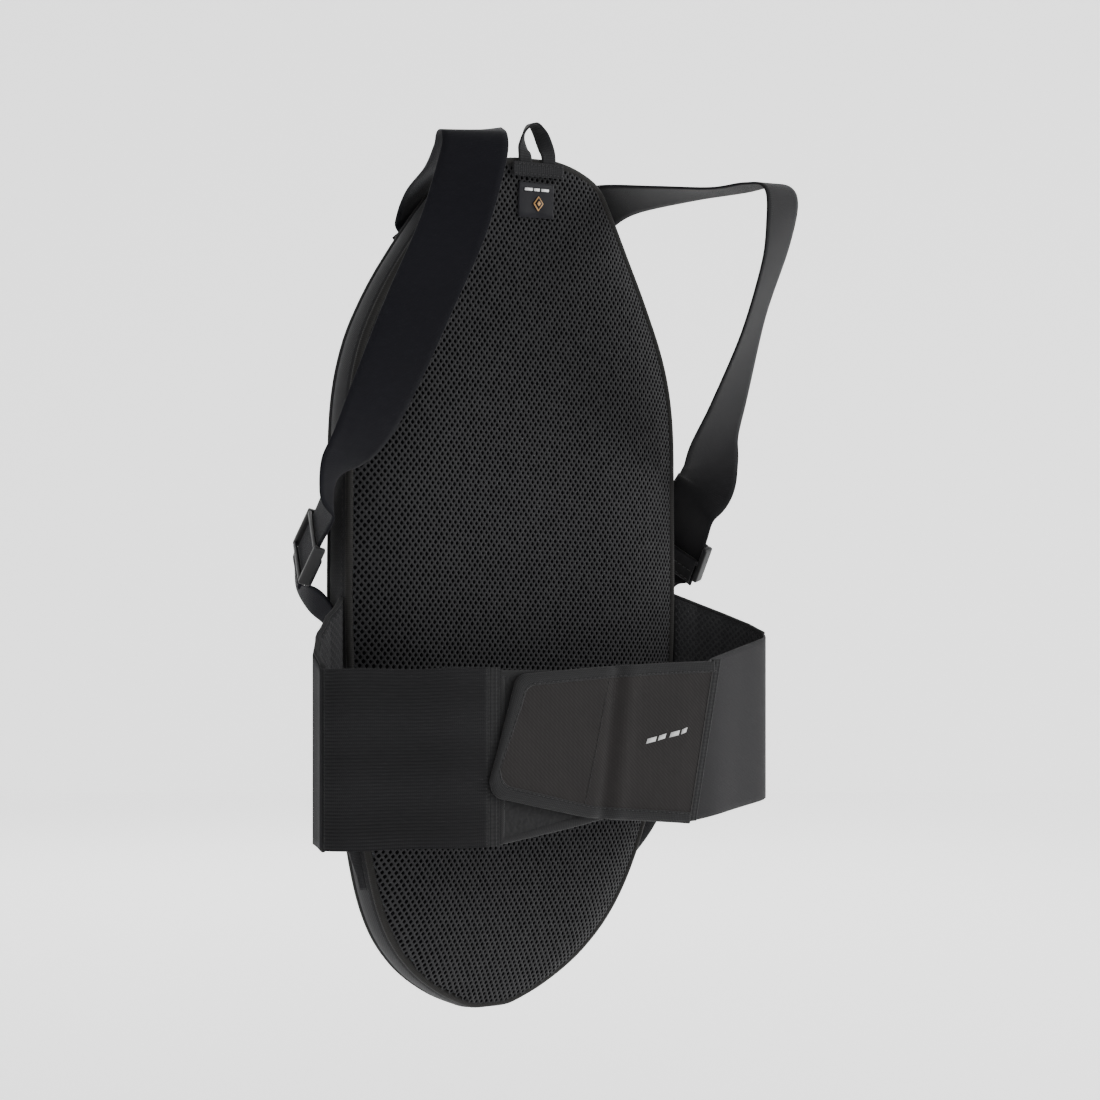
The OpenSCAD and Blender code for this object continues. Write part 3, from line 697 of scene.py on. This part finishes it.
def make_side(sign, name, strap_material, body):
    """Shoulder strap, slide, sewn tail, anchor webbing and gusset of one side."""
    flip = vec(sign, 1, 1)
    route = smooth((RIGHT_OVER if sign > 0 else LEFT_OVER) + STRAP_DOWN, 8) * flip
    side = smooth((RIGHT_OVER_ACROSS if sign > 0 else LEFT_OVER_ACROSS) + STRAP_DOWN_ACROSS, 8) * flip
    pull = np.clip(smooth([(g,) for g in STRAP_GATHER], 8)[:, 0], 0, None)
    strap = ribbon(f"{name}_strap_elastic", route, side, STRAP_HALF - GATHERED * pull,
                   flat_section(1.5, 10, 0.12), [strap_material], "panel")
    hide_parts(f"{name}_shoulder_strap")

    low, high = node_box(f"{name}_strap_patch")
    middle = (low + high) / 2
    along = unit(vec(sign * 0.62, 0, 0.78))
    wide = unit(vec(sign * 0.78, 0, -0.62))
    line = [middle + along * v + vec(0, 0.2, 0) for v in np.linspace(-8, 8, 9)]
    patch = ribbon(f"{name}_strap_patch_webbing", line, [wide] * 9, 22, flat_section(1.4, 8, 0.3), [WEBBING],
                   "panel")
    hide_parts(f"{name}_strap_patch")
    for k, v in enumerate((-6, 6)):
        row = [middle + along * v + wide * end + vec(0, 1, 0) for end in (-19, 19)]
        stitches(f"{name}_patch_stitches_{k + 1}", row, Y, "panel")

    axes = np.array([ACROSS * flip, OUT * flip, -ALONG * flip])
    at = SLIDE_AT * flip
    verts, faces = [], []
    rail, end_bar, middle_bar = (3.6, 7.4, 27), (41.5, 2.3, 2.8), (41.5, 2.3, 3.4)
    boxes = [(rail, (22.2, 0, 0)), (rail, (-22.2, 0, 0)), (end_bar, (0, 2.6, 12.1)),
             (end_bar, (0, 2.6, -12.1)), (middle_bar, (0, -2.6, 0))]
    for size, place in boxes:
        v, f = rounded_box(size, np.array(place) @ axes + at, axes, 1.1)
        base = sum(len(x) for x in verts)
        verts.append(v)
        faces += [tuple(i + base for i in face) for face in f]
    slide = build(f"{name}_slide_plastic", np.vstack(verts), faces, [PLASTIC], body)
    sharp(slide, 60)
    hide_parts(f"{name}_slide")

    tail_out = -4.8
    tail_route = [np.array([0, tail_out, v]) @ axes + at for v in np.linspace(3, -15, 16)]
    tail = ribbon(f"{name}_slide_tail_elastic", tail_route, [axes[0]] * 16, 19.5, flat_section(1.6, 8, 0.3),
                  [strap_material], body)
    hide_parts(f"{name}_slide_tail")
    for k, v in enumerate((-6, -13)):
        row = [np.array([u, tail_out - 0.8, v]) @ axes + at for u in (-17, 17)]
        stitches(f"{name}_tail_stitches_{k + 1}", row, -axes[1], body)

    ends = np.array([(130, 0, -312), (129.8, 0, -324), (127.8, 0, -342)])
    front, rear = (ends + vec(0, 24.5, 0)) * flip, (ends + vec(0, 36.5, 0)) * flip
    webbing = between_lines(f"{name}_anchor_ribbed", front, rear, ribbed_section(1.6, 12, 2.0, 0.35),
                            [ANCHOR], "panel", 2.0)
    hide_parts(f"{name}_anchor_webbing")
    edge = [p for p in resample(OUTLINE, 4) if 330 < p[0] < 460]
    tuck = [min(1, max(0, (p[0] - 405) / 45)) for p in edge]
    inner = np.array([(p[1] + 0.4, lean(p[0]) + 4, TOP - p[0]) for p in edge]) * flip
    outer = np.array([(126 + (p[1] + 4 - 126) * k, 22 + (lean(p[0]) - 16) * k, TOP - p[0])
                      for p, k in zip(edge, tuck)]) * flip
    gusset = between_lines(f"{name}_gusset_cloth", inner, outer, flat_section(1.6, 6, 0.5), [COVER], "panel")
    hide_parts(f"{name}_gusset")


# ---- belt
BELT_TOP, BELT_H = -338.0, 107.0
BELT_LOW = BELT_TOP - BELT_H
SEAM_TOP = -299.0
WING_ROUTE = [(127, 20.6), (147.5, 7.3), (162.3, -9), (167.5, -25.5)]
FOLD_TO_FRONT = [(167.2, -26.5), (159, -33.5), (128, -45.5), (99, -57)]
FRONT_Y = -63.0
SEAM_X, SEAM_LEAN = 92.0, 20.0
FLAP_Y = -63.7
RIGHT_RISE = 14
WING_LIFT = 14
QUILT_PITCH = 17.0


def wing_surface(sign, rise):
    """Maps (distance along the wing, height fraction) to the wing's inner face."""
    plan = resample(smooth(WING_ROUTE, 12), 1.0)
    run = lengths(plan)
    length = run[-1]

    def place(a, v, off):
        a = np.asarray(a, float)
        x, y = np.interp(a, run, plan[:, 0]), np.interp(a, run, plan[:, 1])
        tx, ty = np.interp(a, run, np.gradient(plan[:, 0])), np.interp(a, run, np.gradient(plan[:, 1]))
        size = np.hypot(tx, ty)
        nx, ny = -np.abs(ty) / size, -np.abs(tx) / size
        f = np.clip(a / length, 0, 1)
        top = SEAM_TOP + (BELT_TOP + rise - SEAM_TOP) * f
        low = BELT_LOW + WING_LIFT + (rise - WING_LIFT) * f
        z = top + (low - top) * v
        quilt = 1.3 * np.abs(np.sin(math.pi * a / QUILT_PITCH)) ** 0.6
        q = off + quilt
        return np.stack([sign * (x + nx * q), y + ny * q, z], axis=-1)
    return place, length


def make_wing(sign, name, rise):
    """One quilted wing with its bindings. rise is how far its outer end stands above the belt's front."""
    place, length = wing_surface(sign, rise)
    height = 130.0

    def surface(x, s):
        return place(x if sign > 0 else length - x, s / height, 0.9)

    inner = air_mesh(f"{name}_wing_mesh", surface,
                     lambda x, s: (x > 2) & (x < length - 2) & (s > 2) & (s < height - 2),
                     (0, 0), (length, height), None, thread=WING_YARN, tilt=0.0, depth=1.2)
    rows, columns = 26, 40
    a = np.linspace(0, length, columns)[None].repeat(rows, 0)
    v = np.linspace(0, 1, rows)[:, None].repeat(columns, 1)
    back = place(a, v, 0.6)
    front = place(a, v, -2.8)
    verts, faces = loft(both_sides(back, front))
    grid = np.stack([a, v * height], -1)
    uv = both_sides(grid, grid)
    cloth_body = build(f"{name}_wing_cloth", verts, faces, [COVER], None, uv.reshape(-1, 2))
    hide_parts(f"{name}_wing")
    line = place(np.linspace(0, length, 30), np.zeros(30), -0.8)
    piping = tube_between(f"{name}_wing_top_binding", line + vec(0, 0, 1.2), 3.4, 2.6)
    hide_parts(f"{name}_wing_binding")
    bottom = place(np.linspace(0, length, 30), np.ones(30), -0.8)
    hem = tube_between(f"{name}_wing_hem", bottom, 3.0, 2.0)
    for piece in (inner, cloth_body, piping, hem):
        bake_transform(piece)


def tube_between(name, line, wide, tall):
    """A rounded binding along a line, without a body."""
    line = np.asarray(line, float)
    t = tangents(line)
    out = unit(np.cross(t, Z))
    a = np.arange(12) / 12 * 2 * math.pi
    rings = line[:, None] + out[:, None] * (np.cos(a) * wide / 2)[None, :, None]
    rings = rings + Z * (np.sin(a) * tall / 2)[None, :, None]
    verts, faces = loft(rings)
    run = lengths(line)
    uv = np.stack(np.meshgrid(run, np.arange(12) * 0.9, indexing="ij"), axis=-1).reshape(-1, 2)
    return build(name, verts, faces, [BINDING], None, uv)


def elastic_lines(sign, rise, end_top, end_low, low_drop):
    """Top and bottom edge of an elastic from its fold to its front end."""
    lines = []
    for z0, z1, end in ((BELT_TOP + rise, BELT_TOP, end_top),
                        (BELT_LOW + rise, BELT_LOW + low_drop, end_low)):
        plan = resample(smooth(FOLD_TO_FRONT + [(end, FRONT_Y)], 12), 2.0)
        fraction = np.linspace(0, 1, len(plan))
        plan = np.array([np.interp(np.linspace(0, 1, 60), fraction, plan[:, k]) for k in (0, 1)]).T
        z = np.linspace(z0, z1, 60)
        lines.append(np.stack([sign * plan[:, 0], plan[:, 1], z], axis=1))
    return lines


def make_left_belt():
    """Ribbed elastic, seam tape and the loop pile panel that the flap closes on."""
    top, low = elastic_lines(-1, 0, 76, 76, 0)
    wavy = 0.5 * np.sin(np.linspace(0, 9, 60))[:, None] * Z
    elastic = between_lines("left_belt_elastic", top + wavy, low - 0.6 * wavy,
                            ribbed_section(1.9, 107, 2.05, 0.7), [RIBBED], "left_belt")
    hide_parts("left_elastic")
    low_c, high_c = node_box("left_seam_tape")
    x0, x1, y0 = low_c[0], high_c[0], (low_c[1] + high_c[1]) / 2
    tape = between_lines("left_belt_seam_tape", [(x0, y0, high_c[2]), (x0, y0, low_c[2])],
                         [(x1, y0, high_c[2]), (x1, y0, low_c[2])],
                         ribbed_section(1.4, 9, 3.0, 0.4), [TAPE], "left_belt")
    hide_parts("left_seam_tape")

    low_c, high_c = node_box("loop_panel_binding")
    x0, x1 = low_c[0], high_c[0]
    columns, rows = 110, 100
    gx = np.linspace(x0 + 3, x1 - 3, columns)[None].repeat(rows, 0)
    f = (gx - x0) / (x1 - x0)
    top_z = BELT_TOP - 5 - 6 * f
    low_z = BELT_LOW + 3 + 17 * f
    gz = top_z + (low_z - top_z) * np.linspace(0, 1, rows)[:, None]
    rng = np.random.default_rng(3)
    fuzz = rng.uniform(0, 1, gx.shape) * 0.6 + 0.25 * np.sin(gx * 2.4) * np.sin(gz * 2.1)
    front = np.stack([gx + rng.uniform(-0.2, 0.2, gx.shape), FRONT_Y + 1.6 - fuzz,
                      gz + rng.uniform(-0.2, 0.2, gx.shape)], -1)
    back = np.stack([gx, np.full(gx.shape, FRONT_Y + 3.1), gz], -1)
    verts, faces = loft(both_sides(front, back))
    pile = build("loop_pile_panel", verts, faces, [PILE], "left_belt", verts[:, [0, 2]])
    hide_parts("loop_panel")
    depth = FRONT_Y + 1.8
    corners = [(x0 + 2, depth, BELT_TOP - 4), (x1 - 3, depth, BELT_TOP - 10), (x1 - 3, depth, BELT_LOW + 19),
               (x0 + 2, depth, BELT_LOW + 2.5)]
    path = resample(corners, 2.0, closed=True)
    centre = path.mean(0)
    away = unit((path - centre) * vec(1, 0, 1))
    frame_tube = tube_along("loop_panel_binding_tape", path, away, ellipse(0, 0, 3.2, 1.15, 12), [BINDING],
                            "left_belt")
    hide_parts("loop_panel_binding")


def make_right_belt():
    """Smooth elastic and the tape along the flap's seam."""
    top, low = elastic_lines(1, RIGHT_RISE, SEAM_X + 0.6, SEAM_X - SEAM_LEAN + 0.6, 6)
    elastic = between_lines("right_belt_elastic", top, low, flat_section(1.8, 30), [SMOOTH], "right_belt")
    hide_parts("right_elastic")
    slope = unit(vec(-SEAM_LEAN, 0, -(BELT_H - 6)))
    start = vec(SEAM_X + 1.2, FRONT_Y - 2.2, BELT_TOP + 1)
    edge = np.array([start + slope * v for v in np.linspace(0, 103, 40)])
    tape = between_lines("right_belt_seam_tape", edge, edge + vec(7, 0.9, 0),
                         ribbed_section(1.5, 7, 3.4, 0.4), [TAPE], "right_belt")
    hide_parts("right_seam_tape")


def flap_grid(inset, rows=60):
    """Grid over the flap: rows run down, columns run from the free end to the seam."""
    columns, radius = 90, 9.0
    seam_top, seam_low = vec(SEAM_X + 2, BELT_TOP), vec(SEAM_X - SEAM_LEAN + 2.5, BELT_LOW + 5.5)
    tip_top, tip_low = vec(-59, BELT_TOP - 5), vec(-76, BELT_LOW + 30)
    knee = vec(-3, BELT_LOW + 15)
    f = np.linspace(0, 1, columns)
    top = tip_top + (seam_top - tip_top) * f[:, None] + np.stack([0 * f, 1.2 * np.sin(math.pi * f)], -1)
    bends = np.array([tip_low, knee, seam_low])
    along = lengths(bends)
    low = np.stack([np.interp(f * along[-1], along, bends[:, k]) for k in (0, 1)], -1)
    low[:, 1] += -1.5 * np.sin(math.pi * f) ** 2
    corner = radius * (1 - np.sqrt(1 - np.clip(1 - f * columns * 1.75 / radius, 0, 1) ** 2))
    top[:, 1] -= corner
    low[:, 1] += corner
    top[:, 1] -= inset
    low[:, 1] += inset
    top[:, 0] += inset * (1 - f)
    low[:, 0] += inset * (1 - f)
    v = np.linspace(0, 1, rows)[:, None, None]
    return top[None] + (low - top)[None] * v


def flap_depth(x, z):
    """Relief of the flap: a soft upright fold, puckers at the seam and slight waviness."""
    down = (BELT_TOP - z) / BELT_H
    fold_x = 20 - 14 * down
    fold = 1.9 * np.exp(-((x - fold_x) / 5.0) ** 2) - 0.7 * np.exp(-((x - fold_x - 11) / 6.0) ** 2)
    pucker = 0.35 * np.sin(z / 3.2) * np.clip((x - 60) / 25, 0, 1)
    wave = 0.35 * np.sin(x / 19 + 1) + 0.2 * np.sin(z / 15)
    return fold + pucker + wave


def flap_point(flat, out):
    """Points of the flap's outer face at (x, z), raised out millimetres toward the viewer."""
    x, z = flat[..., 0], flat[..., 1]
    fade = np.clip((SEAM_X - SEAM_LEAN * (BELT_TOP - z) / BELT_H - x) / 12, 0, 1)
    y = FLAP_Y - 1.1 + flap_depth(x, z) * fade - out
    return np.stack([x, y, z], axis=-1)


def make_flap():
    """Closure flap with binding, stitches, print and hook patch."""
    flat = flap_grid(1.5)
    front, back = flap_point(flat, 1.0), flap_point(flat, -0.9)
    back[..., 1] = np.minimum(back[..., 1], FLAP_Y + 0.2)
    verts, faces = loft(both_sides(front, back))
    cloth_piece = build("closure_flap_cloth", verts, faces, [FLAP], None, verts[:, [0, 2]])
    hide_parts("flap_panel")

    rim, inner = flap_grid(0.0, rows=40), flap_grid(7.0, rows=40)
    path = np.vstack([rim[0][::-1], rim[1:-1, 0], rim[-1]])
    inside = np.vstack([inner[0][::-1], inner[1:-1, 0], inner[-1]])
    both = resample(np.hstack([path, inside]), 1.6)
    path, inside = both[:, :2], both[:, 2:]
    across = inside - path
    profile = ((-0.02, 0.0), (0.03, 0.9), (0.3, 1.75), (0.62, 1.8), (0.93, 1.5), (1.0, 1.05),
               (0.97, -0.9), (0.1, -1.2))
    rings = []
    for a, out in profile:
        p = path + across * a
        point = flap_point(p, out)
        point[:, 1] = np.minimum(point[:, 1], FLAP_Y + 0.45)
        rings.append(point)
    rings = np.stack(rings, axis=1)
    verts, faces = loft(rings)
    run = lengths(path)
    uv = np.stack(np.meshgrid(run, np.arange(len(profile)) * 1.6, indexing="ij"), axis=-1).reshape(-1, 2)
    binding = build("closure_flap_binding", verts, faces, [BINDING], None, uv)
    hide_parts("flap_binding")

    row = path + across * 0.86
    seam = stitches("flap_binding_stitches", flap_point(row, 1.65), -Y, None, length=2.4, gap=1.1)
    down = np.linspace(0, 1, 50)
    line = np.stack([13 - 20 * down, BELT_TOP - 8 - (BELT_H - 27) * down], -1)
    middle = stitches("flap_cross_stitches", flap_point(line, 1.0), -Y, None, gap=1.0)
    marks = []
    for k in range(4):
        x0, z0 = 40 + 9.0 * k, BELT_TOP - 50 + 1.6 * k
        wide = (7, 5.4, 7, 4)[k]
        quad = np.array([(x0, z0), (x0 + wide, z0 + 1.2), (x0 + wide + 1.2, z0 + 4.2), (x0 + 1.2, z0 + 3.0)])
        top, low = flap_point(quad, 1.3), flap_point(quad, 0.9)
        marks.append(build(f"flap_print_bar_{k + 1}", np.vstack([top, low]), plate_faces(4), [PRINT], None))
    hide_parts("flap_mark")

    u, v = np.meshgrid(np.linspace(0, 1, 60), np.linspace(0, 1, 70))
    gx = (1 - v) * (-52 + 46 * u) + v * (-62 + 48 * u)
    gz = (1 - v) * (BELT_TOP - 18 + u) + v * (BELT_LOW + 43 - 10 * u)
    rng = np.random.default_rng(5)
    hooks = np.stack([gx, FLAP_Y + 0.95 + 0.25 * rng.uniform(0, 1, gx.shape), gz], -1)
    base = np.stack([gx, np.full(gx.shape, FLAP_Y + 0.3), gz], -1)
    verts, faces = loft(both_sides(hooks, base))
    patch = build("hook_pile_patch", verts, faces, [HOOKS], "closure_flap", verts[:, [0, 2]])
    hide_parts("hook_patch")
    for piece in [cloth_piece, binding, seam, middle] + marks:
        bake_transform(piece)


def finish_inner_layers():
    """The layers inside the panel keep their CAD shapes and get foam and sheet materials."""
    looks = {"comfort_foam": foam("comfort_foam", (0.30, 0.32, 0.35)),
             "impact_foam": foam("impact_foam", (0.40, 0.28, 0.10)),
             "load_sheet": plastic("load_sheet", (0.35, 0.36, 0.38))}
    for node, look in looks.items():
        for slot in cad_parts[node].material_slots:
            slot.material = look


# ---- stage, light and camera
VIEW_TURN = math.radians(35)
FLOOR_GAP = 0.12


def make_stage():
    """Pale floor and wall square to the camera, even world light and three area lamps."""
    low, high = (np.array(v) for v in cad_bounds)
    floor_z = low[2] - FLOOR_GAP
    white = Nodes("studio_white")
    for socket, value in (("Base Color", (0.93, 0.93, 0.93, 1)), ("Roughness", 0.9),
                          ("Emission Color", (1, 1, 1, 1)), ("Emission Strength", 0.68)):
        white.bsdf.inputs[socket].default_value = value
    turn = -VIEW_TURN

    cos, sin = math.cos(turn), math.sin(turn)

    def place(across, depth, z):
        return across * cos - depth * sin, across * sin + depth * cos, z

    left, right = place(-6, 3, floor_z), place(6, 3, floor_z)
    corners = {"studio_floor": [place(-6, -4, floor_z), place(6, -4, floor_z), right, left],
               "studio_wall": [left, right, place(6, 3, floor_z + 5), place(-6, 3, floor_z + 5)]}
    for name, points in corners.items():
        mesh = bpy.data.meshes.new(name)
        mesh.from_pydata(points, [], [(0, 1, 2, 3)])
        mesh.materials.append(white.mat)
        sheet = bpy.data.objects.new(name, mesh)
        bpy.context.scene.collection.objects.link(sheet)

    world = bpy.data.worlds.new("studio")
    bpy.context.scene.world = world
    world.use_nodes = True
    world.node_tree.nodes["Background"].inputs[0].default_value = (1, 1, 1, 1)
    world.node_tree.nodes["Background"].inputs[1].default_value = 0.9

    centre = Vector(((low + high) / 2).tolist())
    for name, offset, size, power in (("key", (2.1, -1.5, 1.0), 1.4, 62), ("fill", (-1.8, -1.6, 0.3), 1.8, 9),
                                      ("rim", (0.9, 1.8, 1.1), 1.2, 24)):
        lamp = bpy.data.lights.new(name, "AREA")
        lamp.size = size
        lamp.energy = power
        light = bpy.data.objects.new(name, lamp)
        light.location = centre + Vector(offset)
        light.rotation_euler = (centre - light.location).to_track_quat("-Z", "Y").to_euler()
        bpy.context.scene.collection.objects.link(light)


def make_camera():
    """A level camera to the left of the front, a little below the middle of the panel."""
    ahead = Vector((math.sin(VIEW_TURN), math.cos(VIEW_TURN), 0))
    right = Vector((math.cos(VIEW_TURN), -math.sin(VIEW_TURN), 0))
    aim = Vector((0, 0.019, -0.268)) + right * 0.0220
    data = bpy.data.cameras.new("camera")
    data.lens = 90
    data.sensor_width = 36
    camera = bpy.data.objects.new("camera", data)
    camera.location = aim - ahead * 1.75
    camera.rotation_euler = ahead.to_track_quat("-Z", "Y").to_euler()
    bpy.context.scene.collection.objects.link(camera)
    bpy.context.scene.camera = camera


make_camera()
make_stage()
make_panel()
make_top()
# The right side takes the lit copy of the strap knit and the left side the shaded copy (painted light and
# shade).
make_side(1, "right", STRAP_LIT_R, "right_buckle")
make_side(-1, "left", STRAP_SHADED_L, "left_buckle")
make_wing(1, "right", RIGHT_RISE)
make_wing(-1, "left", 0)
make_left_belt()
make_right_belt()
make_flap()
finish_inner_layers()

bpy.context.view_layer.update()
